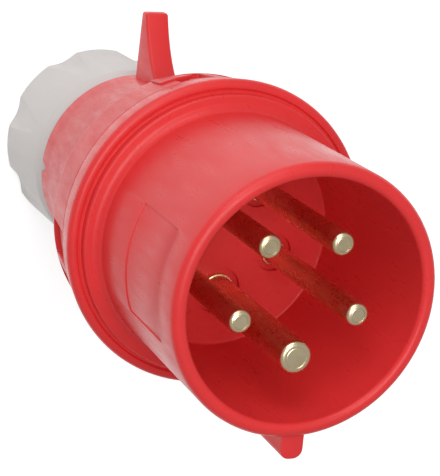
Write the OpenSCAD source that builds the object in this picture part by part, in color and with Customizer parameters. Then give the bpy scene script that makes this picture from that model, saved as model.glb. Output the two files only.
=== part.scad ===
// Industrial pin and sleeve plug, four small contact pins and an earth pin.
// The plug stands on the flat rear end of its cable gland nut. The origin is
// on the plug's axis at that face, +Z runs out of the mouth of the sleeve and
// +Y points to the lid tab, opposite the key. All lengths are millimetres.

/* [Sleeve] */
// Outer diameter of the sleeve
sleeve_d = 57; // [54:0.5:62]
// Thickness of the sleeve's wall
sleeve_wall = 3.1; // [2.6:0.1:4.2]
// Length of the sleeve in front of the flange
sleeve_l = 46; // [40:0.2:52]
// Depth of the contact chamber, from the mouth to its floor
sleeve_depth = 45.4; // [42:0.2:50]
// Thickness of the chamber's floor
floor_t = 3.2; // [2.4:0.1:4.5]
// Width of the key below the sleeve
key_w = 5; // [4:0.2:7]
// Height of the key above the sleeve's surface
key_h = 5; // [3:0.2:6]
// Angle that the label field covers round the sleeve
label_span = 48; // [20:1:60]
// Length of the label field along the sleeve
label_l = 19; // [10:0.5:26]

/* [Flange] */
// Outer diameter of the flange at its front corner
flange_d = 70.2; // [69:0.2:78]
// Length of the flange, from the joint with the collar to its front ring
flange_l = 7.5; // [6:0.1:12]
// Outer diameter of the raised face inside the front ring
plateau_d = 64.2; // [62:0.2:65.4]
// Height of the raised face above the front ring
plateau_h = 1.6; // [0.6:0.1:2]

/* [Contacts] */
// Diameter of the line and neutral pins
pin_d = 5; // [4:0.1:6]
// Diameter of the earth pin
earth_pin_d = 7; // [5.5:0.1:8]
// Diameter of the circle on which the outer edges of all pins lie
pin_reach_d = 32; // [30:0.2:34]
// Distance of the pin tips behind the mouth
pin_recess = 3.2; // [2:0.1:8]
// Diameter of the terminal barrels
barrel_d = 7.2; // [6.6:0.1:8]
// Diameter of the wire bore in a terminal barrel
wire_d = 4.2; // [3.4:0.1:4.6]
// Diameter of a terminal screw's thread
terminal_screw_d = 3.5; // [3:0.1:4]

/* [Bayonet] */
// Length of the skirt that enters the rear shell
skirt_l = 11; // [9:0.5:13]
// Outer diameter of that skirt
skirt_d = 58.8; // [58:0.1:60]
// Height of a bayonet lug above the skirt
lug_h = 1.1; // [0.6:0.1:1.4]
// Angle that the rear shell turns through to open
twist_a = 25; // [15:1:35]

/* [Rear shell] */
// Length of the ribbed collar
collar_l = 13; // [11:0.1:16]
// Outer diameter of the collar's rear edge
collar_rear_d = 65; // [64:0.2:68]
// Length of the body from the collar to the rear rim
shell_l = 39; // [36:0.5:46]
// Outer diameter of the rear rim
rim_d = 48.8; // [48:0.2:54]
// Thickness of the shell's wall
shell_wall = 2.8; // [2:0.1:3.4]
// Distance of the lid tab's top from the axis
tab_top = 41.3; // [36:0.1:44]
// Width of the lid tab
tab_w = 5.8; // [4:0.2:8]
// Depth of the grip pockets
pocket_depth = 1.1; // [0.5:0.1:1.3]
// Number of grip positions round the collar
grip_count = 20; // [12:1:28]
// Number of grip positions that the plain panel takes up
smooth_count = 4; // [2:1:5]
// Height of the plain panel above the collar
panel_h = 0.5; // [0.2:0.1:0.8]
// Distance that the panel's curved rear edge reaches behind the collar
panel_back = 6.9; // [3:0.1:9]

/* [Cable gland] */
// Length of the gland nut
nut_l = 31.5; // [29:0.5:38]
// Outer diameter of the gland nut
nut_d = 50; // [49.6:0.2:54]
// Outer diameter of the threaded spigot
spigot_d = 40.8; // [40:0.2:42]
// Thickness of the spigot's wall
spigot_wall = 3; // [2.4:0.1:3.6]
// Diameter of the cable opening in the nut
entry_d = 25; // [20:0.5:28]
// Diameter of the hole in the sealing grommet
grommet_hole_d = 13; // [9:0.5:15]

/* [Hidden] */
$fn = 96;
eps = 0.01;
run_gap = 0.1;      // between surfaces that turn on each other
seat_gap = 0.05;    // between a piece and its pocket
thread_gap = 0.2;   // between the crests of a thread and its wall

// Stations along the axis, from the rear end to the mouth
nut_wall_t = 4;
rim_gap = 1;
z_rim = nut_l + rim_gap;
z_collar = z_rim + shell_l;
z_split = z_collar + collar_l;
z_ring = z_split + flange_l;
z_plateau = z_ring + plateau_h;
z_mouth = z_ring + sleeve_l;
z_floor = z_mouth - sleeve_depth;
z_floor_back = z_floor - floor_t;
z_skirt = z_split - skirt_l;
z_tip = z_mouth - pin_recess;

// Sleeve and flange
sleeve_r = sleeve_d / 2;
bore_r = sleeve_r - sleeve_wall;
flange_r = flange_d / 2;
plateau_r = plateau_d / 2;
collar_front_r = flange_r - 1;
skirt_r = skirt_d / 2;
skirt_bore_r = skirt_r - 2.4;
rim_round_out = 1.6;
rim_round_in = 1.2;
root_fillet = 2;
ring_corner = 1.3;
plateau_edge = 0.5;
groove_w = 0.9;
groove_depth = 0.5;
label_depth = 0.3;
label_front = z_mouth - 9;
label_mid_a = 176;

// Lugs stand on the skirt, their tracks are cut in the collar
lug_angles = [30, 150, 270];
lug_a = 14;
lug_l = 3;
lug_z = z_split - 6.5;
lug_r = skirt_r + lug_h;
track_side = 0.6;
track_axial = 0.15;
track_r = lug_r + 0.3;

// Contacts: the line pins and the neutral pin stand round the earth pin
pin_angles = [54, 126, 198, 342];
earth_angle = 270;
pin_r = pin_d / 2;
earth_r = earth_pin_d / 2;
pin_pitch_r = pin_reach_d / 2 - pin_r;
earth_pitch_r = pin_reach_d / 2 - earth_r;
pin_ring_w = 1.9;
pin_ring_depth = 1;
tip_round = 0.9;
shank_side = 0.4;   // the part of a pin inside the floor is thicker by this
z_shank = z_floor + 0.5;
shank_edge = 0.2;
head_l = 2;
head_side = 1;
barrel_r = barrel_d / 2;
wire_r = wire_d / 2;
wire_l = 16;

// Contact holder behind the floor
holder_top = z_floor_back;
holder_r = skirt_bore_r - 0.2;
holder_rear_r = 23;
holder_rear_l = 12;
z_holder = z_skirt - holder_rear_l;
terminal_z = z_holder + 5.5;
barrel_end = z_holder + 1;
screw_head_d = 4.8;
screw_head_l = 2.2;
screw_reach = 0.4;  // between a screw's head and its barrel
slot_w = 0.8;
slot_depth = 1;
clamp_out = wire_r - 0.6;
clamp_t = 0.5;
clamp_l = 8;

// Screws that fasten the holder to two bosses under the floor
boss_angles = [18, 162];
boss_pitch_r = 19;
boss_r = 3.6;
boss_l = 8;
fix_screw_d = 3;
fix_head_d = 5;
fix_head_l = 2.2;
fix_seat = 2;       // holder left under a fixing screw's head
fix_z = z_holder + holder_rear_l - fix_seat - fix_head_l - seat_gap;
fix_tip = z_floor - 2;

// Rear shell
collar_rear_r = collar_rear_d / 2;
shell_front_r = collar_rear_r - 2.6;
rim_r = rim_d / 2;
collar_bore_r = skirt_r + run_gap;
rear_straight = 5;  // length of straight body in front of the rear rim
rim_edge = 0.8;
grip_pitch = 360 / grip_count;
grip_fill = 0.78;
grip_start = 181;
pocket_margin = 1.4;
panel_l = 8;
panel_side = 2;     // angle left between the panel and a grip pocket
panel_mid_a = grip_start - smooth_count * grip_pitch / 2;
notch_a = 177;
notch_w = 3.4;
notch_l = 4;
tab_back = 6.5;     // from the rear rim to the tab's rear face
tab_l = 20;         // from the rear rim to the toe of the tab's front face
tab_toe = 1.2;
tab_sag_out = 6.8;
tab_sag_l = 12.5;
tab_neck_t = 2.6;
tab_edge = 0.6;

// Cable gland
nut_r = nut_d / 2;
spigot_r = spigot_d / 2;
spigot_bore_r = spigot_r - spigot_wall;
spigot_end = nut_wall_t + 8;
seat_w = 3.4;
z_seat = z_rim - 2.4;
z_inner = z_rim + 3.5;
entry_r = entry_d / 2;
slip_t = 2.2;
slip_r = spigot_r - 0.6;
slip_bore_r = entry_r + 0.5;
slip_z = nut_wall_t + run_gap;
press_flange_t = 2;
press_z = slip_z + slip_t + run_gap;
press_end = spigot_end + 2.4;
press_hole_r = 9;
press_wall = 2;
press_slit_w = 1;
press_slit_deep = 3;
press_root = 2;
lip_l = 3;          // cone at each end of the grommet's hole
lip_w = 3;
scallop_count = 8;
scallop_r = 9;
scallop_depth = 1.5;
scallop_start = 26;
scallop_lean = 2.6;
nut_front_r = nut_r - 0.6;
nut_chamfer = 2.2;
nut_round = 2;

// Points on an arc about [x, y], for the outlines of turned shapes
function arc(x, y, r, from, to, steps = 6) =
    [for (i = [0:steps]) let (a = from + (to - from) * i / steps) [x + r * cos(a), y + r * sin(a)]];

// The part of its children that lies between two angles about the axis
module sector(from, to, reach, z, l) {
    mid = (from + to) / 2;
    intersection() {
        children();
        translate([0, 0, z])
            linear_extrude(l)
                polygon([[0, 0], reach * [cos(from), sin(from)],
                    1.5 * reach * [cos(mid), sin(mid)], reach * [cos(to), sin(to)]]);
    }
}

module tube(r_out, r_in, z, l) {
    translate([0, 0, z])
        difference() {
            cylinder(r = r_out, h = l);
            translate([0, 0, -eps]) cylinder(r = r_in, h = l + 2 * eps);
        }
}

// ---- front body -----------------------------------------------------------

module key_outline() {
    round_r = key_w / 2 - 0.3;
    translate([-key_w / 2, -sleeve_r - key_h + round_r])
        square([key_w, key_h - round_r + sleeve_wall / 2]);
    intersection() {
        translate([-key_w / 2, -sleeve_r - key_h])
            square([key_w, round_r + eps]);
        union() {
            for (side = [-1, 1])
                translate([side * (key_w / 2 - round_r), -sleeve_r - key_h + round_r])
                    circle(r = round_r);
            translate([-key_w / 2 + round_r, -sleeve_r - key_h])
                square([key_w - 2 * round_r, round_r]);
        }
    }
}

module bayonet_lugs() {
    for (a = lug_angles)
        sector(a - lug_a / 2, a + lug_a / 2, lug_r + 5, lug_z - 1, lug_l + 2)
            tube(lug_r, skirt_r - 1, lug_z, lug_l);
}

module label_field() {
    sector(label_mid_a - label_span / 2, label_mid_a + label_span / 2, sleeve_r + 5,
        label_front - label_l, label_l)
        tube(sleeve_r + 2, sleeve_r - label_depth, label_front - label_l - 1, label_l + 2);
}

module sleeve_body() {
    rotate_extrude()
        polygon(concat(
            [[0, z_floor_back], [skirt_bore_r, z_floor_back], [skirt_bore_r, z_skirt]],
            [[skirt_r - 0.5, z_skirt], [skirt_r, z_skirt + 0.5]],
            [[skirt_r, z_split], [collar_front_r, z_split]],
            arc(flange_r - ring_corner, z_ring - ring_corner, ring_corner, 0, 90),
            [[plateau_r + groove_w, z_ring], [plateau_r + groove_w, z_ring - groove_depth]],
            [[plateau_r, z_ring - groove_depth]],
            arc(plateau_r - plateau_edge, z_plateau - plateau_edge, plateau_edge, 0, 90, 3),
            arc(sleeve_r + root_fillet, z_plateau + root_fillet, root_fillet, 270, 180),
            arc(sleeve_r - rim_round_out, z_mouth - rim_round_out, rim_round_out, 0, 90),
            arc(bore_r + rim_round_in, z_mouth - rim_round_in, rim_round_in, 90, 180),
            [[bore_r, z_floor], [0, z_floor]]));
}

module pin_hole(angle, pitch, r) {
    rotate([0, 0, angle])
        translate([pitch, 0, 0]) {
            translate([0, 0, z_floor_back - eps])
                cylinder(r = r + shank_side + seat_gap, h = floor_t + 1);
            translate([0, 0, z_floor - pin_ring_depth]) cylinder(r = r + pin_ring_w, h = 2);
        }
}

module sleeve_housing() {
    color([0.80, 0.10, 0.09])
        difference() {
            union() {
                sleeve_body();
                translate([0, 0, z_plateau - 0.5])
                    linear_extrude(z_mouth - 1 - z_plateau + 0.5) key_outline();
                bayonet_lugs();
                for (a = boss_angles)
                    rotate([0, 0, a])
                        translate([boss_pitch_r, 0, z_floor_back - boss_l])
                            cylinder(r = boss_r, h = boss_l + eps);
            }
            for (a = pin_angles) pin_hole(a, pin_pitch_r, pin_r);
            pin_hole(earth_angle, earth_pitch_r, earth_r);
            label_field();
            for (a = boss_angles)
                rotate([0, 0, a])
                    translate([boss_pitch_r, 0, z_floor_back - boss_l - eps])
                        cylinder(d = fix_screw_d + 2 * seat_gap, h = boss_l + floor_t - 1.2);
        }
}

// A tool that cuts one terminal's room out of the contact holder
module terminal_room(angle, pitch, r) {
    rotate([0, 0, angle])
        translate([pitch, 0, 0]) {
            translate([0, 0, z_holder - eps])
                cylinder(r = barrel_r + seat_gap, h = holder_top - z_holder + 1);
            translate([0, 0, holder_top - head_l - seat_gap])
                cylinder(r = max(r, barrel_r) + head_side + seat_gap, h = head_l + 1);
            translate([0, 0, terminal_z])
                rotate([0, 90, 0]) cylinder(d = screw_head_d + 0.6, h = holder_rear_r);
        }
}

module contact_holder() {
    color([0.16, 0.16, 0.17])
        difference() {
            union() {
                translate([0, 0, z_holder]) cylinder(r = holder_rear_r, h = holder_top - z_holder);
                translate([0, 0, z_skirt + 1]) cylinder(r = holder_r, h = holder_top - z_skirt - 1);
            }
            for (a = pin_angles) terminal_room(a, pin_pitch_r, pin_r);
            terminal_room(earth_angle, earth_pitch_r, earth_r);
            for (a = boss_angles)
                rotate([0, 0, a])
                    translate([boss_pitch_r, 0, 0]) {
                        translate([0, 0, holder_top - boss_l - seat_gap])
                            cylinder(r = boss_r + 0.1, h = boss_l + 1);
                        translate([0, 0, z_holder - eps])
                            cylinder(d = fix_screw_d + 2 * seat_gap, h = holder_top - z_holder);
                        translate([0, 0, z_holder - eps])
                            cylinder(d = fix_head_d + 0.4, h = holder_rear_l - fix_seat);
                    }
        }
}

// A contact: a turned pin, the head that the floor traps, and its wire barrel
module contact_pin(angle, pitch, r) {
    head_r = max(r, barrel_r) + head_side;
    shank_r = r + shank_side;
    color([0.80, 0.62, 0.30])
        rotate([0, 0, angle])
            translate([pitch, 0, 0])
                difference() {
                    rotate_extrude()
                        polygon(concat(
                            [[0, barrel_end], [barrel_r - 0.4, barrel_end]],
                            [[barrel_r, barrel_end + 0.4], [barrel_r, holder_top - head_l]],
                            [[head_r, holder_top - head_l], [head_r, holder_top - seat_gap]],
                            [[shank_r, holder_top - seat_gap], [shank_r, z_shank - shank_edge]],
                            [[shank_r - shank_edge, z_shank], [r, z_shank]],
                            arc(r - tip_round, z_tip - tip_round, tip_round, 0, 90),
                            [[0, z_tip]]));
                    translate([0, 0, barrel_end - eps]) cylinder(r = wire_r, h = wire_l);
                    translate([0, 0, terminal_z])
                        rotate([0, 90, 0])
                            cylinder(d = terminal_screw_d + 2 * seat_gap, h = barrel_r + 1);
                }
}

module terminal_screw(angle, pitch) {
    l = barrel_r + screw_reach - clamp_out;
    color([0.72, 0.73, 0.75])
        rotate([0, 0, angle])
            translate([pitch + clamp_out, 0, terminal_z])
                rotate([0, 90, 0])
                    difference() {
                        union() {
                            cylinder(d = terminal_screw_d, h = l + eps);
                            translate([0, 0, l]) cylinder(d = screw_head_d, h = screw_head_l);
                        }
                        translate([-screw_head_d, -slot_w / 2, l + screw_head_l - slot_depth])
                            cube([2 * screw_head_d, slot_w, 2 * slot_depth]);
                    }
}

module wire_clamp(angle, pitch) {
    half_w = sqrt(pow(wire_r, 2) - pow(clamp_out, 2)) - seat_gap;
    color([0.75, 0.76, 0.78])
        rotate([0, 0, angle])
            translate([pitch + clamp_out - clamp_t, -half_w, terminal_z - clamp_l / 2])
                cube([clamp_t, 2 * half_w, clamp_l]);
}

module holder_screw(angle) {
    color([0.72, 0.73, 0.75])
        rotate([0, 0, angle])
            translate([boss_pitch_r, 0, fix_z])
                difference() {
                    union() {
                        cylinder(d = fix_head_d, h = fix_head_l);
                        cylinder(d = fix_screw_d, h = fix_tip - fix_z);
                    }
                    for (a = [0, 90])
                        rotate([0, 0, a])
                            translate([-fix_screw_d / 2, -slot_w / 2, -slot_depth])
                                cube([fix_screw_d, slot_w, 2 * slot_depth]);
                }
}

// ---- rear shell -----------------------------------------------------------

// Outer radius of the shell's body at a distance in front of the rear rim
function body_r(h) = rim_r + (shell_front_r - rim_r)
    * pow(max(h - rear_straight, 0) / (shell_l - rear_straight), 1.25);

// One L-shaped track: the lug enters it from the front and turns under it
module bayonet_track(a) {
    side = lug_a / 2 + track_side;
    sector(a - twist_a - side, a + side, track_r + 5, lug_z - track_axial, lug_l + 2 * track_axial)
        cylinder(r = track_r, h = z_mouth);
    sector(a - twist_a - side, a - twist_a + side, track_r + 5, lug_z - track_axial, z_mouth)
        cylinder(r = track_r, h = z_mouth);
}

// The smooth part of the collar, cut by a leaning plane so that its rear edge curves
module plain_panel() {
    half = smooth_count * grip_pitch / 2 - panel_side;
    drop = panel_back + rim_edge + 1;
    lean = atan(drop / (collar_rear_r * (1 - cos(half))));
    rear = z_collar - panel_back;
    slope = (collar_front_r - collar_rear_r) / collar_l;
    root_r = body_r(shell_l - panel_back) - 1;
    reach = 2 * flange_r;
    rotate([0, 0, panel_mid_a])
        intersection() {
            sector(-half, half, flange_r + 5, rear - 1, panel_back + panel_l + 1)
                rotate_extrude()
                    polygon([[root_r, rear - 1],
                        [collar_rear_r + panel_h - slope * (panel_back + 1), rear - 1],
                        [collar_rear_r + panel_h + slope * panel_l, z_collar + panel_l],
                        [collar_bore_r + 1, z_collar + panel_l], [collar_bore_r + 1, z_collar + 2]]);
            translate([collar_rear_r * cos(half), 0, rear + drop])
                rotate([0, lean, 0]) translate([-reach, -reach, 0]) cube(2 * reach);
        }
}

module grip_pocket(a) {
    front = z_split - 1;
    rear = z_collar + pocket_margin;
    span = grip_pitch * grip_fill;
    sector(a, a + span, flange_r + 5, rear, front - rear)
        difference() {
            translate([0, 0, rear - 1]) cylinder(r = flange_r + 3, h = front - rear + 2);
            translate([0, 0, z_collar])
                cylinder(r1 = collar_rear_r - pocket_depth, r2 = collar_front_r - pocket_depth,
                    h = collar_l);
        }
}

module lid_tab() {
    root = rim_r - 1;
    back_z = z_rim + tab_back;
    toe = [rim_r + tab_toe, z_rim + tab_l];
    sag = [rim_r + tab_sag_out, z_rim + tab_sag_l];
    neck = [tab_top - tab_edge, back_z + tab_neck_t];
    // the front face is a hollow curve from the toe to the neck
    front = [for (i = [0:8]) let (u = i / 8)
        pow(1 - u, 2) * toe + 2 * u * (1 - u) * sag + pow(u, 2) * neck];
    rotate([90, 0, 90])
        translate([0, 0, -tab_w / 2])
            linear_extrude(tab_w)
                polygon(concat([[root, back_z - 2], [root, toe[1]]], front,
                    [[tab_top, neck[1] - tab_edge], [tab_top, back_z + tab_edge],
                     [tab_top - tab_edge, back_z]]));
}

module shell_body() {
    steps = 8;
    skirt_room = z_skirt - 0.5;
    wall_l = skirt_room - 2 - z_rim - rear_straight;
    rotate_extrude()
        polygon(concat(
            [[collar_bore_r, z_split], [collar_bore_r, skirt_room]],
            [for (i = [steps:-1:0]) let (h = rear_straight + wall_l * i / steps)
                [body_r(h) - shell_wall, z_rim + h]],
            [[rim_r - shell_wall, z_inner], [spigot_bore_r - seat_w, z_inner]],
            [[spigot_bore_r - seat_w, z_seat], [spigot_bore_r, z_seat]],
            [[spigot_bore_r, spigot_end], [spigot_r - rim_edge, spigot_end]],
            [[spigot_r, spigot_end + rim_edge], [spigot_r, z_rim]],
            [[rim_r - rim_edge, z_rim], [rim_r, z_rim + rim_edge]],
            [for (i = [0:steps]) let (h = rear_straight + (shell_l - rear_straight) * i / steps)
                [body_r(h), z_rim + h]],
            arc(collar_rear_r - rim_edge, z_collar + rim_edge, rim_edge, 270, 360, 4),
            [[collar_front_r, z_split]]));
}

module rear_shell() {
    color([0.80, 0.10, 0.09])
        difference() {
            union() {
                shell_body();
                plain_panel();
                lid_tab();
            }
            for (a = lug_angles) bayonet_track(a);
            for (i = [0:grip_count - smooth_count - 1]) grip_pocket(grip_start + i * grip_pitch);
            rotate([0, 0, notch_a])
                translate([rim_r - shell_wall, 0, z_rim])
                    rotate([90, 0, 90])
                        linear_extrude(2 * shell_wall)
                            polygon([[-notch_w / 2, -1], [notch_w / 2, -1], [notch_w / 2, 0],
                                [0, notch_l], [-notch_w / 2, 0]]);
        }
}

// ---- cable gland ----------------------------------------------------------

module sealing_grommet() {
    r = spigot_bore_r - run_gap;
    hole = grommet_hole_d / 2;
    rear = press_end + seat_gap;
    front = z_seat - seat_gap;
    color([0.09, 0.09, 0.09])
        rotate_extrude()
            polygon([[hole, rear + lip_l], [hole + lip_w, rear], [r, rear], [r, front],
                [hole + lip_w, front], [hole, front - lip_l]]);
}

// Slit ring that the nut pushes against the grommet
module pressure_ring() {
    color([0.85, 0.85, 0.83])
        difference() {
            union() {
                tube(slip_r, press_hole_r + press_wall, press_z, press_flange_t);
                tube(spigot_bore_r - run_gap, press_hole_r, press_z, press_end - press_z);
            }
            for (a = [0:45:315])
                rotate([0, 0, a])
                    translate([press_hole_r - 1, -press_slit_w / 2, press_z - 1])
                        cube([press_slit_deep + 1, press_slit_w,
                            press_end - press_root - press_z + 1]);
        }
}

module slip_ring() {
    color([0.85, 0.85, 0.83]) tube(slip_r, slip_bore_r, slip_z, slip_t);
}

module nut_scallop(a) {
    // each scallop is deepest at the rear and runs out before the front chamfer
    rotate([0, 0, a])
        translate([nut_r + scallop_r - scallop_depth, 0, -2])
            rotate([0, scallop_lean, 0]) cylinder(r = scallop_r, h = nut_l + 6);
}

module gland_nut() {
    bore = spigot_r + thread_gap;
    lead = 0.8;
    color([0.83, 0.83, 0.81])
        difference() {
            rotate_extrude()
                polygon(concat(
                    [[entry_r, 0]],
                    arc(nut_r - nut_round, nut_round, nut_round, 270, 360, 5),
                    [[nut_front_r, nut_l - 2 * nut_chamfer], [nut_front_r - nut_chamfer, nut_l]],
                    [[bore + lead, nut_l], [bore, nut_l - lead]],
                    [[bore, nut_wall_t], [entry_r, nut_wall_t]]));
            for (i = [0:scallop_count - 1]) nut_scallop(scallop_start + i * 360 / scallop_count);
        }
}

sleeve_housing();
contact_holder();
contact_pin(pin_angles[2], pin_pitch_r, pin_r);  // pin_line_1
contact_pin(pin_angles[1], pin_pitch_r, pin_r);  // pin_line_2
contact_pin(pin_angles[0], pin_pitch_r, pin_r);  // pin_line_3
contact_pin(pin_angles[3], pin_pitch_r, pin_r);  // pin_neutral
contact_pin(earth_angle, earth_pitch_r, earth_r);  // pin_earth
terminal_screw(pin_angles[2], pin_pitch_r);  // terminal_screw_line_1
terminal_screw(pin_angles[1], pin_pitch_r);  // terminal_screw_line_2
terminal_screw(pin_angles[0], pin_pitch_r);  // terminal_screw_line_3
terminal_screw(pin_angles[3], pin_pitch_r);  // terminal_screw_neutral
terminal_screw(earth_angle, earth_pitch_r);  // terminal_screw_earth
wire_clamp(pin_angles[2], pin_pitch_r);  // wire_clamp_line_1
wire_clamp(pin_angles[1], pin_pitch_r);  // wire_clamp_line_2
wire_clamp(pin_angles[0], pin_pitch_r);  // wire_clamp_line_3
wire_clamp(pin_angles[3], pin_pitch_r);  // wire_clamp_neutral
wire_clamp(earth_angle, earth_pitch_r);  // wire_clamp_earth
holder_screw(boss_angles[0]);  // holder_screw_right
holder_screw(boss_angles[1]);  // holder_screw_left
rear_shell();
sealing_grommet();
pressure_ring();
slip_ring();
gland_nut();
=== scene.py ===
"""Industrial pin and sleeve plug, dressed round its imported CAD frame."""
import math

import bmesh
import bpy
from mathutils import Matrix, Vector


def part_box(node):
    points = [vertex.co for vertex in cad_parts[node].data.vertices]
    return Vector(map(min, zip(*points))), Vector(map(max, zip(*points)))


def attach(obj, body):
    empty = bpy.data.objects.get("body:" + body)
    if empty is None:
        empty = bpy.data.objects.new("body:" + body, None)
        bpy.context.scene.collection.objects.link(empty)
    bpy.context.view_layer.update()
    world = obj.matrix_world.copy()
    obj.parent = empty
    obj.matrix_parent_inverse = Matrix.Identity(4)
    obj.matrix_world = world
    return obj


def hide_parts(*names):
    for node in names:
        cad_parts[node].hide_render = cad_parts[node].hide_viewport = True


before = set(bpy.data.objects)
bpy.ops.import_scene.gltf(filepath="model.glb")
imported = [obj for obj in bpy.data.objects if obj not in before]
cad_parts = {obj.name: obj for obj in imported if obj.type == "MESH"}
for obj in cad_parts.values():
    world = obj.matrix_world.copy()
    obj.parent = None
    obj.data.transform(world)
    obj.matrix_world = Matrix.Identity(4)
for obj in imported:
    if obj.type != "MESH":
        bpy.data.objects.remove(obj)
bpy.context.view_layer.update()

mm = 0.001
full_turn = 2 * math.pi
weld = 0.002 * mm       # points closer than this are one point

# Stations along the axis, read from the frame
housing_low, housing_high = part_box("sleeve_housing")
shell_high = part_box("rear_shell")[1]
nut_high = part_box("gland_nut")[1]
grommet_low, grommet_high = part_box("sealing_grommet")
slip_low, slip_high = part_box("slip_ring")
pin_low, pin_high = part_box("pin_line_1")

z_mouth = housing_high.z
z_skirt = housing_low.z
z_split = shell_high.z
z_rim = nut_high.z + 1 * mm
z_ring = z_split + 7.5 * mm
z_plateau = z_ring + 1.6 * mm
z_floor = z_mouth - 45.4 * mm
z_floor_back = z_floor - 3.2 * mm
z_collar = z_split - 13 * mm

sleeve_r = 28.5 * mm
bore_r = 25.4 * mm
flange_r = housing_high.x
plateau_r = 32.1 * mm
skirt_r = 29.4 * mm
skirt_bore_r = 27 * mm
collar_front_r = flange_r - 1 * mm
collar_rear_r = 32.5 * mm
rim_r = 24.4 * mm
shell_wall = 2.8 * mm
spigot_r = 20.4 * mm
spigot_bore_r = 17.4 * mm
nut_r = nut_high.x
entry_r = 12.5 * mm


# ---- shaping by hand -------------------------------------------------------

def let_go():
    bpy.ops.object.select_all(action="DESELECT")


def take(piece):
    let_go()
    piece.select_set(True)
    bpy.context.view_layer.objects.active = piece


def edit(piece, mode="VERT"):
    take(piece)
    bpy.ops.object.mode_set(mode="EDIT")
    bpy.ops.mesh.select_mode(type=mode)


def leave():
    bpy.ops.object.mode_set(mode="OBJECT")


def rounded(corners, steps=5):
    """Turns corners (radius, height, rounding) into a closed line with round corners."""
    line = []
    for i, (x, y, size) in enumerate(corners):
        here = Vector((x, y))
        if not size:
            line.append(here)
            continue
        before = (Vector(corners[i - 1][:2]) - here).normalized()
        after = (Vector(corners[(i + 1) % len(corners)][:2]) - here).normalized()
        half = before.angle(after) / 2
        centre = here + (before + after).normalized() * size / math.sin(half)
        first = here + before * size / math.tan(half) - centre
        last = here + after * size / math.tan(half) - centre
        start = math.atan2(first.y, first.x)
        sweep = (math.atan2(last.y, last.x) - start + math.pi) % full_turn - math.pi
        line += [centre + size * Vector((math.cos(start + sweep * k / steps),
                                         math.sin(start + sweep * k / steps)))
                 for k in range(steps + 1)]
    return line


def drawn(name, line, closed=True):
    """A new piece that is one line in the x-z plane, drawn from a single point."""
    let_go()
    bpy.ops.mesh.primitive_plane_add(size=mm)
    piece = bpy.context.object
    piece.name = piece.data.name = name
    edit(piece)
    bpy.ops.mesh.select_all(action="SELECT")
    bpy.ops.mesh.merge(type="CENTER")
    bpy.ops.transform.translate(value=(line[0].x, 0, line[0].y))
    stops = line + line[:1] if closed else line
    for here, there in zip(stops, stops[1:]):
        step = (there.x - here.x, 0, there.y - here.y)
        bpy.ops.mesh.extrude_region_move(TRANSFORM_OT_translate={"value": step})
    leave()
    return piece


def tidy_mesh():
    """Closes seams and poles, and turns the faces outwards. Runs in edit mode."""
    bpy.ops.mesh.select_all(action="SELECT")
    bpy.ops.mesh.remove_doubles(threshold=weld)
    bpy.ops.mesh.dissolve_degenerate(threshold=weld)
    bpy.ops.mesh.normals_make_consistent(inside=False)
    if bmesh.from_edit_mesh(bpy.context.edit_object.data).calc_volume(signed=True) < 0:
        bpy.ops.mesh.flip_normals()


def close_ends():
    """Fills the open ends of a swept piece. Runs in edit mode."""
    bpy.ops.mesh.select_mode(type="EDGE")
    bpy.ops.mesh.select_all(action="DESELECT")
    bpy.ops.mesh.select_non_manifold()
    bpy.ops.mesh.fill_holes(sides=0)
    tidy_mesh()


def turned(name, line, closed=True, steps=240, sweep=full_turn):
    """A piece turned on the plug's axis from one line."""
    piece = drawn(name, line, closed)
    edit(piece)
    bpy.ops.mesh.select_all(action="SELECT")
    bpy.ops.mesh.spin(steps=steps, angle=sweep, center=(0, 0, 0), axis=(0, 0, 1))
    tidy_mesh()
    if sweep < full_turn:
        close_ends()
    leave()
    return piece


def settle(piece, place=(0, 0, 0), turn=(0, 0, 0)):
    """Moves a piece into place and keeps that place in its mesh."""
    take(piece)
    piece.location = place
    piece.rotation_euler = turn
    bpy.ops.object.transform_apply(location=True, rotation=True, scale=True)
    return piece


def copied(piece, name, place=(0, 0, 0), turn=(0, 0, 0)):
    take(piece)
    bpy.ops.object.duplicate()
    twin = bpy.context.object
    twin.name = twin.data.name = name
    return settle(twin, place, turn)


def combine(piece, other, how):
    """Cuts the other piece out of this one, or joins it on."""
    take(piece)
    change = piece.modifiers.new("combine", "BOOLEAN")
    change.operation = how
    change.solver = "EXACT"
    change.object = other
    bpy.ops.object.modifier_apply(modifier=change.name)
    bpy.data.objects.remove(other)
    return piece


def pick_faces(piece, test):
    """Selects the faces whose centre passes the test. Runs in edit mode."""
    mesh = bmesh.from_edit_mesh(piece.data)
    for face in mesh.faces:
        face.select_set(bool(test(face.calc_center_median())))
    mesh.select_flush_mode()
    bmesh.update_edit_mesh(piece.data)


def sink(piece, test, depth):
    """Presses the faces that pass the test straight into the surface."""
    edit(piece, "FACE")
    pick_faces(piece, test)
    bpy.ops.mesh.extrude_region_shrink_fatten(TRANSFORM_OT_shrink_fatten={"value": -depth})
    leave()


def soften(piece, width, limit=40, segments=2):
    """Rounds every edge sharper than the limit."""
    take(piece)
    change = piece.modifiers.new("soften", "BEVEL")
    change.width = width
    change.segments = segments
    change.limit_method = "ANGLE"
    change.angle_limit = math.radians(limit)
    change.use_clamp_overlap = True
    bpy.ops.object.modifier_apply(modifier=change.name)


def smooth(piece, limit=32):
    take(piece)
    bpy.ops.object.shade_smooth_by_angle(angle=math.radians(limit))


def bearing(point):
    """Angle of a point round the axis, from 0 to 360 degrees."""
    return math.degrees(math.atan2(point.y, point.x)) % 360


def between(angle, start, stop):
    return (angle - start) % 360 < (stop - start) % 360


def on_circle(radius, angle, z=0.0):
    a = math.radians(angle)
    return Vector((radius * math.cos(a), radius * math.sin(a), z))


# ---- materials -------------------------------------------------------------

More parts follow.
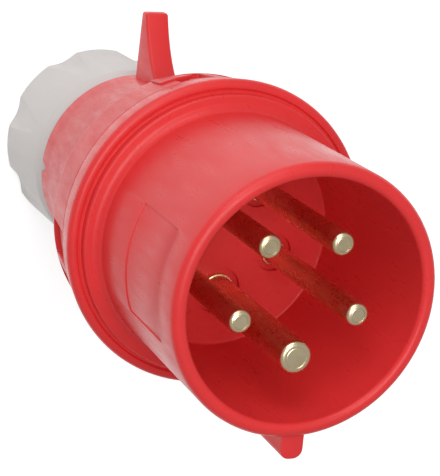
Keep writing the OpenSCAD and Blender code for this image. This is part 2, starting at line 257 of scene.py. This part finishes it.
def new_material(name):
    """A material with its shader, its node maker and a pattern that sits on the piece."""
    material = bpy.data.materials.new(name)
    material.use_nodes = True
    nodes, links = material.node_tree.nodes, material.node_tree.links
    shader = nodes["Principled BSDF"]
    place = nodes.new("ShaderNodeTexCoord")

    def noise(scale, detail=3.0, roughness=0.5, stretch=(1, 1, 1)):
        lay = nodes.new("ShaderNodeMapping")
        lay.inputs["Scale"].default_value = stretch
        links.new(place.outputs["Object"], lay.inputs["Vector"])
        cloud = nodes.new("ShaderNodeTexNoise")
        cloud.inputs["Scale"].default_value = scale
        cloud.inputs["Detail"].default_value = detail
        cloud.inputs["Roughness"].default_value = roughness
        links.new(lay.outputs["Vector"], cloud.inputs["Vector"])
        return cloud.outputs["Fac"]

    return material, shader, nodes, links, place, noise


def spread(nodes, links, value, low, high, start=0.3, stop=0.7):
    """Maps a pattern from start..stop on to low..high."""
    ramp = nodes.new("ShaderNodeMapRange")
    ramp.inputs["From Min"].default_value = start
    ramp.inputs["From Max"].default_value = stop
    ramp.inputs["To Min"].default_value = low
    ramp.inputs["To Max"].default_value = high
    links.new(value, ramp.inputs["Value"])
    return ramp.outputs["Result"]


def tinted(nodes, links, value, colours, stops):
    """A colour that follows a pattern through a ramp."""
    ramp = nodes.new("ShaderNodeValToRGB")
    ramp.color_ramp.elements[0].position = stops[0]
    ramp.color_ramp.elements[1].position = stops[1]
    for element, colour in zip(ramp.color_ramp.elements, colours):
        element.color = (*colour, 1)
    links.new(value, ramp.inputs["Fac"])
    return ramp.outputs["Color"]


def bumped(nodes, links, shader, heights):
    """Adds (pattern, strength, depth) bumps on top of each other."""
    last = None
    for value, strength, depth in heights:
        bump = nodes.new("ShaderNodeBump")
        bump.inputs["Strength"].default_value = strength
        bump.inputs["Distance"].default_value = depth
        links.new(value, bump.inputs["Height"])
        if last:
            links.new(last, bump.inputs["Normal"])
        last = bump.outputs["Normal"]
    links.new(last, shader.inputs["Normal"])


def shaded(colour, factor):
    return tuple(c * factor for c in colour)


def moulded_plastic(name, colour, gloss, grain=0.12, wear=(1.08, 0.92)):
    """Injection-moulded plastic: a slight orange peel, flow marks and faint rubbing."""
    material, shader, nodes, links, place, noise = new_material(name)
    flow = noise(38, 4, 0.55, (1, 1, 0.45))
    links.new(tinted(nodes, links, flow, (shaded(colour, wear[1]), shaded(colour, wear[0])),
                     (0.25, 0.78)), shader.inputs["Base Color"])
    rubs = noise(420, 5, 0.7, (1, 1, 0.2))
    links.new(spread(nodes, links, rubs, gloss - 0.06, gloss + 0.12, 0.35, 0.75),
              shader.inputs["Roughness"])
    bumped(nodes, links, shader, [(noise(260, 3), grain, 0.12 * mm),
                                  (noise(2600, 2), grain * 0.8, 0.02 * mm)])
    shader.inputs["Specular IOR Level"].default_value = 0.35
    shader.inputs["IOR"].default_value = 1.5
    return material


def turned_brass(name):
    """Bright turned brass with fine tool rings round each pin and a little tarnish."""
    material, shader, nodes, links, place, noise = new_material(name)
    shader.inputs["Metallic"].default_value = 1.0
    tarnish = noise(140, 4, 0.5)
    links.new(tinted(nodes, links, tarnish, ((0.80, 0.66, 0.40), (0.92, 0.80, 0.54)), (0.25, 0.75)),
              shader.inputs["Base Color"])
    links.new(spread(nodes, links, noise(400, 3), 0.24, 0.34), shader.inputs["Roughness"])
    rings = noise(60, 2, 0.5, (0.02, 0.02, 60))
    bumped(nodes, links, shader, [(rings, 0.08, 0.05 * mm), (noise(3000, 2), 0.04, 0.02 * mm)])
    return material


def plated_steel(name, colour):
    material, shader, nodes, links, place, noise = new_material(name)
    shader.inputs["Metallic"].default_value = 1.0
    links.new(tinted(nodes, links, noise(500, 4), (shaded(colour, 0.82), colour), (0.3, 0.7)),
              shader.inputs["Base Color"])
    links.new(spread(nodes, links, noise(1200, 3), 0.28, 0.42), shader.inputs["Roughness"])
    bumped(nodes, links, shader, [(noise(2400, 3), 0.15, 0.02 * mm)])
    return material


def soft_rubber(name):
    material, shader, nodes, links, place, noise = new_material(name)
    links.new(tinted(nodes, links, noise(180, 5, 0.6), ((0.018, 0.018, 0.019), (0.042, 0.041, 0.040)),
                     (0.3, 0.7)), shader.inputs["Base Color"])
    links.new(spread(nodes, links, noise(700, 4), 0.55, 0.78), shader.inputs["Roughness"])
    bumped(nodes, links, shader, [(noise(1500, 3), 0.25, 0.03 * mm)])
    return material


def dress(piece, material, body, slot, *nodes):
    """Gives a new piece its finish, its body and the nodes that it stands for."""
    piece.data.materials.clear()
    piece.data.materials.append(material)
    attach(piece, body)
    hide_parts(*nodes)


red_housing = moulded_plastic("red_housing_plastic", (0.80, 0.038, 0.040), 0.32)
red_shell = moulded_plastic("red_shell_plastic", (0.76, 0.036, 0.038), 0.36)
nut_plastic = moulded_plastic("grey_nut_plastic", (0.72, 0.69, 0.67), 0.42, 0.18, (1.04, 0.96))
ring_plastic = moulded_plastic("grey_ring_plastic", (0.60, 0.59, 0.57), 0.46, 0.15, (1.05, 0.92))
holder_plastic = moulded_plastic("black_holder_plastic", (0.030, 0.030, 0.033), 0.45, 0.2)
pin_brass = turned_brass("turned_pin_brass")
screw_steel = plated_steel("zinc_screw_steel", (0.62, 0.63, 0.64))
clamp_steel = plated_steel("plain_clamp_steel", (0.66, 0.66, 0.67))
grommet_rubber = soft_rubber("black_grommet_rubber")


# ---- sleeve housing --------------------------------------------------------

label_start, label_stop = 152, 200
label_top = z_mouth - 9 * mm
label_low = label_top - 19 * mm


def sleeve_line():
    return rounded([
        (skirt_bore_r, z_floor_back, 0.3 * mm), (skirt_bore_r, z_skirt, 0.3 * mm),
        (skirt_r, z_skirt, 0.5 * mm), (skirt_r, z_split, 0.2 * mm),
        (collar_front_r, z_split, 0.25 * mm), (flange_r, z_ring - 1.5 * mm, 0),
        (flange_r, z_ring, 1.3 * mm), (plateau_r + 0.9 * mm, z_ring, 0.35 * mm),
        (plateau_r + 0.9 * mm, z_ring - 0.5 * mm, 0.15 * mm),
        (plateau_r, z_ring - 0.5 * mm, 0.15 * mm), (plateau_r, z_plateau, 0.5 * mm),
        (sleeve_r, z_plateau, 2 * mm), (sleeve_r, label_low, 0), (sleeve_r, label_top, 0),
        (sleeve_r, z_mouth, 1.6 * mm), (bore_r, z_mouth, 1.2 * mm), (bore_r, z_floor, 0.5 * mm),
        (0.0, z_floor, 0), (0.0, z_floor_back, 0)])


def key_bar(top):
    """The key: a bar with a round outer edge, from the plateau to the mouth."""
    width, out = 5 * mm, sleeve_r + 5 * mm
    let_go()
    low, depth = z_plateau - 0.5 * mm, out - sleeve_r + 1.5 * mm
    bpy.ops.mesh.primitive_cube_add(size=1, location=(0, -out + depth / 2, (low + top) / 2),
                                    scale=(width, depth, top - low))
    bar = bpy.context.object
    bpy.ops.object.transform_apply(location=True, rotation=False, scale=True)
    edit(bar, "EDGE")
    mesh = bmesh.from_edit_mesh(bar.data)
    for line in mesh.edges:
        middle = (line.verts[0].co + line.verts[1].co) / 2
        line.select_set(middle.y < -out + 0.1 * mm and abs(middle.x) > 1 * mm)
    bmesh.update_edit_mesh(bar.data)
    bpy.ops.mesh.bevel(offset=2.1 * mm, segments=8, affect="EDGES")
    leave()
    soften(bar, 0.35 * mm, 50, 2)
    return bar


def pin_places():
    """Name, angle, circle radius and pin radius of every contact."""
    places = []
    for name in ("line_1", "line_2", "line_3", "neutral", "earth"):
        low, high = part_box("pin_" + name)
        middle = (low + high) / 2
        radius = 3.5 * mm if name == "earth" else 2.5 * mm
        places.append((name, Vector((middle.x, middle.y, 0)), radius))
    return places


def sleeve_housing():
    piece = turned("sleeve_housing", sleeve_line(), steps=360)
    sink(piece, lambda c: between(bearing(c), label_start, label_stop)
         and label_low < c.z < label_top and c.xy.length > sleeve_r - 0.5 * mm, 0.3 * mm)
    soften(piece, 0.12 * mm, 50, 2)
    combine(piece, key_bar(z_mouth - 1 * mm), "UNION")
    for name, place, radius in pin_places():
        let_go()
        bpy.ops.mesh.primitive_cylinder_add(vertices=96, radius=radius + 1.9 * mm, depth=2 * mm,
                                            location=place + Vector((0, 0, z_floor)))
        cutter = settle(bpy.context.object, bpy.context.object.location)
        combine(piece, cutter, "DIFFERENCE")
    smooth(piece)
    dress(piece, red_housing, "front", "red_housing", "sleeve_housing")


# ---- contact pins ----------------------------------------------------------

def turned_pin(name, r):
    """One contact: tip, shaft, head, wire barrel and its bore, turned on the axis."""
    z_end, z_tip, z_back = pin_low.z, pin_high.z, z_floor_back - 0.05 * mm
    barrel_r, wire_r = 3.6 * mm, 2.1 * mm
    head_r, root_r, dish_r = max(r, barrel_r) + 1 * mm, r + 0.4 * mm, 0.62 * r
    piece = turned(name, rounded([
        (0.0, z_end + 16 * mm, 0), (wire_r, z_end + 16 * mm, 0), (wire_r, z_end, 0.15 * mm),
        (barrel_r, z_end, 0.4 * mm), (barrel_r, z_floor_back - 2 * mm, 0.1 * mm),
        (head_r, z_floor_back - 2 * mm, 0.2 * mm), (head_r, z_back, 0.1 * mm),
        (root_r, z_back, 0.05 * mm), (root_r, z_floor + 0.5 * mm, 0.2 * mm),
        (r, z_floor + 0.5 * mm, 0.1 * mm), (r, z_tip, 0.95 * mm),
        (dish_r + 0.12 * mm, z_tip, 0.04 * mm), (dish_r, z_tip - 0.12 * mm, 0.04 * mm),
        (dish_r - 0.15 * mm, z_tip - 0.04 * mm, 0.03 * mm), (0.0, z_tip - 0.1 * mm, 0)]),
        closed=False, steps=96)
    smooth(piece, 40)
    return piece


def contact_pins():
    """The four live pins are copies of one; the earth pin is thicker."""
    models = {2.5 * mm: turned_pin("line_pin", 2.5 * mm), 3.5 * mm: turned_pin("thick_pin", 3.5 * mm)}
    for name, place, radius in pin_places():
        pin = copied(models[radius], "pin_" + name, place)
        dress(pin, pin_brass, "front", "pin_brass", "pin_" + name)
    for model in models.values():
        bpy.data.objects.remove(model)


# ---- rear shell ------------------------------------------------------------

pocket_pitch, pocket_span = 18, 14
first_pocket, pocket_count = 181, 16
pocket_low, pocket_high = z_collar + 1.4 * mm, z_split - 1 * mm
panel_middle, panel_half = 145, 34
straight = 5 * mm


def body_radius(z):
    """Outer radius of the shell's tapering body."""
    full = z_collar - z_rim - straight
    h = min(max(z - z_rim - straight, 0.0), full)
    return rim_r + (collar_rear_r - 2.6 * mm - rim_r) * (h / full) ** 1.25


def collar_radius(z):
    return collar_rear_r + (collar_front_r - collar_rear_r) * (z - z_collar) / (z_split - z_collar)


def shell_line():
    spigot_end = 12 * mm
    z_seat = z_rim - 2.4 * mm
    z_inner = z_rim + 3.5 * mm
    z_room = z_skirt - 0.5 * mm
    bore = skirt_r + 0.1 * mm
    wall_top, wall_low = z_room - 2 * mm, z_rim + straight
    steps = 14
    inside = [(body_radius(z) - shell_wall, z, 0) for z in
              (wall_top + (wall_low - wall_top) * i / steps for i in range(steps + 1))]
    outside = [(body_radius(z), z, 0) for z in
               (wall_low + (z_collar - 1 * mm - wall_low) * i / steps for i in range(steps + 1))]
    return rounded(
        [(bore, z_split, 0.3 * mm), (bore, z_room, 0)] + inside
        + [(rim_r - shell_wall, z_inner, 0.3 * mm), (spigot_bore_r - 3.4 * mm, z_inner, 0.3 * mm),
           (spigot_bore_r - 3.4 * mm, z_seat, 0.2 * mm), (spigot_bore_r, z_seat, 0.2 * mm),
           (spigot_bore_r, spigot_end, 0.3 * mm), (spigot_r - 0.9 * mm, spigot_end, 0.4 * mm),
           (spigot_r - 0.9 * mm, z_rim, 0.3 * mm), (rim_r, z_rim, 0.8 * mm)]
        + outside
        + [(collar_rear_r - 2.6 * mm, z_collar, 0.6 * mm), (collar_rear_r, z_collar, 0.8 * mm),
           (collar_radius(pocket_low), pocket_low, 0), (collar_radius(pocket_high), pocket_high, 0),
           (collar_front_r, z_split, 0.25 * mm)])


def lid_tab():
    """The fin that a socket's lid catches: thin at its top, hollow in front."""
    root = rim_r - 1 * mm
    top = shell_high.y
    z_back = z_rim + 6.5 * mm
    toe = Vector((rim_r + 1.2 * mm, z_rim + 20 * mm))
    sag = Vector((rim_r + 6.8 * mm, z_rim + 12.5 * mm))
    neck = Vector((top, z_back + 3.1 * mm))
    steps = 14
    front = [(1 - u) ** 2 * toe + 2 * u * (1 - u) * sag + u * u * neck
             for u in (i / steps for i in range(steps + 1))]
    line = [Vector((root, z_back - 2 * mm)), Vector((root, toe.y))] + front + [Vector((top, z_back))]
    tab = drawn("lid_tab", line)
    width = 5.8 * mm
    edit(tab)
    bpy.ops.mesh.select_all(action="SELECT")
    bpy.ops.mesh.remove_doubles(threshold=weld)
    bpy.ops.mesh.edge_face_add()
    bpy.ops.mesh.extrude_region_move(TRANSFORM_OT_translate={"value": (0, width, 0)})
    tidy_mesh()
    leave()
    settle(tab, (0, -width / 2, 0))
    settle(tab, turn=(0, 0, math.pi / 2))
    soften(tab, 0.7 * mm, 45, 4)
    return tab


def plain_panel():
    """The smooth panel on the collar; a leaning cut curves its rear edge."""
    back, front, height = 6.9 * mm, 8 * mm, 0.5 * mm
    slope = (collar_front_r - collar_rear_r) / (z_split - z_collar)
    z_low, z_high = z_collar - back - 1 * mm, z_collar + front
    bore = skirt_r + 1.1 * mm
    panel = turned("plain_panel", rounded([
        (body_radius(z_low) - 1 * mm, z_low, 0),
        (collar_rear_r + height + slope * (z_low - z_collar), z_low, 0),
        (collar_rear_r + height + slope * front, z_high, 0.25 * mm),
        (bore, z_high, 0), (bore, z_collar + 2 * mm, 0)]),
        steps=2 * panel_half, sweep=math.radians(2 * panel_half))
    settle(panel, turn=(0, 0, math.radians(panel_middle - panel_half)))
    half = math.radians(panel_half)
    drop = back + 1.8 * mm
    lean = math.atan(drop / (collar_rear_r * (1 - math.cos(half))))
    outward = on_circle(1, panel_middle)
    through = outward * collar_rear_r * math.cos(half) + Vector((0, 0, z_collar - back + drop))
    edit(panel)
    bpy.ops.mesh.select_all(action="SELECT")
    bpy.ops.mesh.bisect(plane_co=through,
                        plane_no=-outward * math.sin(lean) - Vector((0, 0, math.cos(lean))),
                        use_fill=True, clear_outer=True)
    tidy_mesh()
    leave()
    soften(panel, 0.3 * mm, 50, 3)
    return panel


def rim_notch():
    """A wedge that cuts the V in the rear rim."""
    width, length = 3.4 * mm, 4 * mm
    wedge = drawn("rim_notch", [Vector((-width / 2, -1 * mm)), Vector((width / 2, -1 * mm)),
                                Vector((width / 2, 0)), Vector((0, length)),
                                Vector((-width / 2, 0))])
    edit(wedge)
    bpy.ops.mesh.select_all(action="SELECT")
    bpy.ops.mesh.remove_doubles(threshold=weld)
    bpy.ops.mesh.edge_face_add()
    bpy.ops.mesh.extrude_region_move(TRANSFORM_OT_translate={"value": (0, 2 * shell_wall, 0)})
    tidy_mesh()
    leave()
    angle = 177
    return settle(wedge, on_circle(rim_r + shell_wall, angle, z_rim), (0, 0, math.radians(angle + 90)))


def thread(name, radius, depth, z_low, z_high, pitch):
    """A helical ridge: a small tooth swept up the axis."""
    turns = max(1, round((z_high - z_low) / pitch))
    half = 0.38 * pitch
    tooth = drawn(name, [Vector((radius - 0.3 * mm, z_low - half)),
                         Vector((radius - 0.3 * mm, z_low + half)),
                         Vector((radius + depth, z_low + 0.3 * half)),
                         Vector((radius + depth, z_low - 0.3 * half))])
    edit(tooth)
    bpy.ops.mesh.select_all(action="SELECT")
    bpy.ops.mesh.remove_doubles(threshold=weld)
    leave()
    take(tooth)
    sweep = tooth.modifiers.new("sweep", "SCREW")
    sweep.axis = "Z"
    sweep.screw_offset = pitch
    sweep.iterations = turns
    sweep.steps = sweep.render_steps = 72
    sweep.use_merge_vertices = False
    bpy.ops.object.modifier_apply(modifier=sweep.name)
    edit(tooth)
    tidy_mesh()
    close_ends()
    leave()
    return tooth


def rear_shell():
    piece = turned("rear_shell", shell_line(), steps=360)
    for i in range(pocket_count):
        start = first_pocket + i * pocket_pitch
        sink(piece, lambda c: between(bearing(c), start % 360, (start + pocket_span) % 360)
             and pocket_low < c.z < pocket_high and c.xy.length > collar_rear_r - 0.5 * mm, 1.1 * mm)
    soften(piece, 0.22 * mm, 45, 2)
    combine(piece, plain_panel(), "UNION")
    combine(piece, lid_tab(), "UNION")
    combine(piece, rim_notch(), "DIFFERENCE")
    combine(piece, thread("spigot_thread", spigot_r - 0.9 * mm, 0.85 * mm,
                          14 * mm, z_rim - 2.5 * mm, 3 * mm), "UNION")
    smooth(piece)
    dress(piece, red_shell, "shell", "red_shell", "rear_shell")


# ---- cable gland -----------------------------------------------------------

def gland_nut():
    bore, z_top, wall = spigot_r + 0.2 * mm, nut_high.z, 4 * mm
    front_r, chamfer = nut_r - 0.6 * mm, 2.2 * mm
    piece = turned("gland_nut", rounded([
        (entry_r, 0.0, 0.5 * mm), (nut_r, 0.0, 2 * mm), (nut_r, 2.5 * mm, 0),
        (front_r, z_top - 2 * chamfer, 1.5 * mm), (front_r - chamfer, z_top, 0.4 * mm),
        (bore + 0.8 * mm, z_top, 0.2 * mm), (bore, z_top - 0.8 * mm, 0),
        (bore, wall, 0.2 * mm), (entry_r, wall, 0.3 * mm)]), steps=256)
    reach, deep, lean = 9 * mm, 1.5 * mm, math.radians(2.6)
    let_go()
    bpy.ops.mesh.primitive_cylinder_add(vertices=160, radius=reach, depth=2 * z_top)
    scallop = settle(bpy.context.object, (0, 0, z_top - 2 * mm))
    settle(scallop, turn=(0, lean, 0))
    settle(scallop, (nut_r + reach - deep, 0, 0))
    for i in range(8):
        turn = (0, 0, math.radians(26 + 45 * i))
        combine(piece, copied(scallop, "scallop", turn=turn), "DIFFERENCE")
    bpy.data.objects.remove(scallop)
    soften(piece, 0.5 * mm, 12, 3)
    smooth(piece, 40)
    dress(piece, nut_plastic, "nut", "nut_plastic", "gland_nut")


def slip_ring():
    piece = turned("slip_ring", rounded([
        (13 * mm, slip_low.z, 0.3 * mm), (slip_high.x, slip_low.z, 0.4 * mm),
        (slip_high.x, slip_high.z, 0.4 * mm), (13 * mm, slip_high.z, 0.3 * mm)]), steps=160)
    smooth(piece)
    dress(piece, ring_plastic, "slip", "ring_plastic", "slip_ring")


def sealing_grommet():
    """The rubber seal, with a coned hole and three sealing lips inside it."""
    low, high = grommet_low.z, grommet_high.z
    outer, hole, cone = grommet_high.x, 6.5 * mm, 3 * mm
    lips = []
    room = high - low - 2 * cone
    for i in range(3):
        z = low + cone + room * (i + 0.5) / 3
        lips += [(hole + 0.9 * mm, z - 1.1 * mm, 0.2 * mm), (hole, z, 0.3 * mm),
                 (hole + 0.9 * mm, z + 1.1 * mm, 0.2 * mm)]
    piece = turned("sealing_grommet", rounded(
        [(outer, low, 0.4 * mm), (hole + cone, low, 0.4 * mm)] + lips
        + [(hole + cone, high, 0.4 * mm), (outer, high, 0.4 * mm)], 4), steps=160)
    smooth(piece, 50)
    dress(piece, grommet_rubber, "shell", "grommet_rubber", "sealing_grommet")


def keep_inner_nodes():
    """The pieces inside keep their CAD shape and get a full finish."""
    finishes = {"contact_holder": holder_plastic, "pressure_ring": ring_plastic}
    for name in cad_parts:
        if name.startswith("terminal_screw") or name.startswith("holder_screw"):
            finishes[name] = screw_steel
        elif name.startswith("wire_clamp"):
            finishes[name] = clamp_steel
    for name, material in finishes.items():
        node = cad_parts[name]
        for spot in node.material_slots:
            spot.material = material


# ---- stage -----------------------------------------------------------------

def pale_floor():
    """A pale floor that looks white away from the plug's own shadow."""
    let_go()
    bpy.ops.mesh.primitive_plane_add(size=6)
    floor = bpy.context.object
    floor.name = floor.data.name = "floor"
    material = bpy.data.materials.new("pale_floor")
    material.use_nodes = True
    nodes, links = material.node_tree.nodes, material.node_tree.links
    shader = nodes["Principled BSDF"]
    shader.inputs["Base Color"].default_value = (0.82, 0.82, 0.82, 1)
    shader.inputs["Roughness"].default_value = 0.9
    shader.inputs["Specular IOR Level"].default_value = 0.1
    shader.inputs["Emission Color"].default_value = (1, 1, 1, 1)
    ray = nodes.new("ShaderNodeLightPath")
    seen = nodes.new("ShaderNodeMath")
    seen.operation = "MAXIMUM"
    links.new(ray.outputs["Is Camera Ray"], seen.inputs[0])
    links.new(ray.outputs["Is Glossy Ray"], seen.inputs[1])
    through = nodes.new("ShaderNodeMath")
    through.operation = "MAXIMUM"
    links.new(seen.outputs[0], through.inputs[0])
    links.new(ray.outputs["Is Transmission Ray"], through.inputs[1])
    glow = nodes.new("ShaderNodeMath")
    glow.operation = "MULTIPLY"
    glow.inputs[1].default_value = 0.55
    links.new(through.outputs[0], glow.inputs[0])
    links.new(glow.outputs[0], shader.inputs["Emission Strength"])
    floor.data.materials.append(material)


def soft_sky():
    world = bpy.data.worlds.new("soft_sky")
    world.use_nodes = True
    nodes, links = world.node_tree.nodes, world.node_tree.links
    sky = nodes["Background"]
    sky.inputs["Color"].default_value = (1, 1, 1, 1)
    sky.inputs["Strength"].default_value = 0.36
    bpy.context.scene.world = world


def soft_lamp(name, place, aim, size, power):
    let_go()
    bpy.ops.object.light_add(type="AREA", location=place)
    lamp = bpy.context.object
    lamp.name = lamp.data.name = name
    lamp.data.shape = "SQUARE"
    lamp.data.size = size
    lamp.data.energy = power
    lamp.rotation_euler = (Vector(aim) - Vector(place)).to_track_quat("-Z", "Y").to_euler()


def camera():
    """Looks into the mouth from above, the lid tab up and the nut behind on the left."""
    right = Vector((0.9227, 0.0837, 0.3763)).normalized()
    up = Vector((0.0326, 0.9557, -0.2926))
    back = right.cross(up).normalized()
    up = back.cross(right)
    stand = Vector((-129.42 * mm, 94.47 * mm, z_mouth + 249.85 * mm))
    lens = bpy.data.cameras.new("camera")
    lens.sensor_width, lens.lens = 36, 114.86
    eye = bpy.data.objects.new("camera", lens)
    bpy.context.collection.objects.link(eye)
    turn = Matrix((right, up, back)).transposed()
    eye.matrix_world = Matrix.Translation(stand) @ turn.to_4x4()
    bpy.context.scene.camera = eye


sleeve_housing()
contact_pins()
rear_shell()
gland_nut()
slip_ring()
sealing_grommet()
keep_inner_nodes()
pale_floor()
soft_sky()
middle = (0, 0, 0.07)
soft_lamp("key_lamp", (-0.25, 0.8, 0.55), middle, 0.7, 3)
soft_lamp("front_lamp", (-0.15, 0.15, 0.9), middle, 0.5, 3)
camera()
bpy.context.scene.view_settings.view_transform = "Standard"
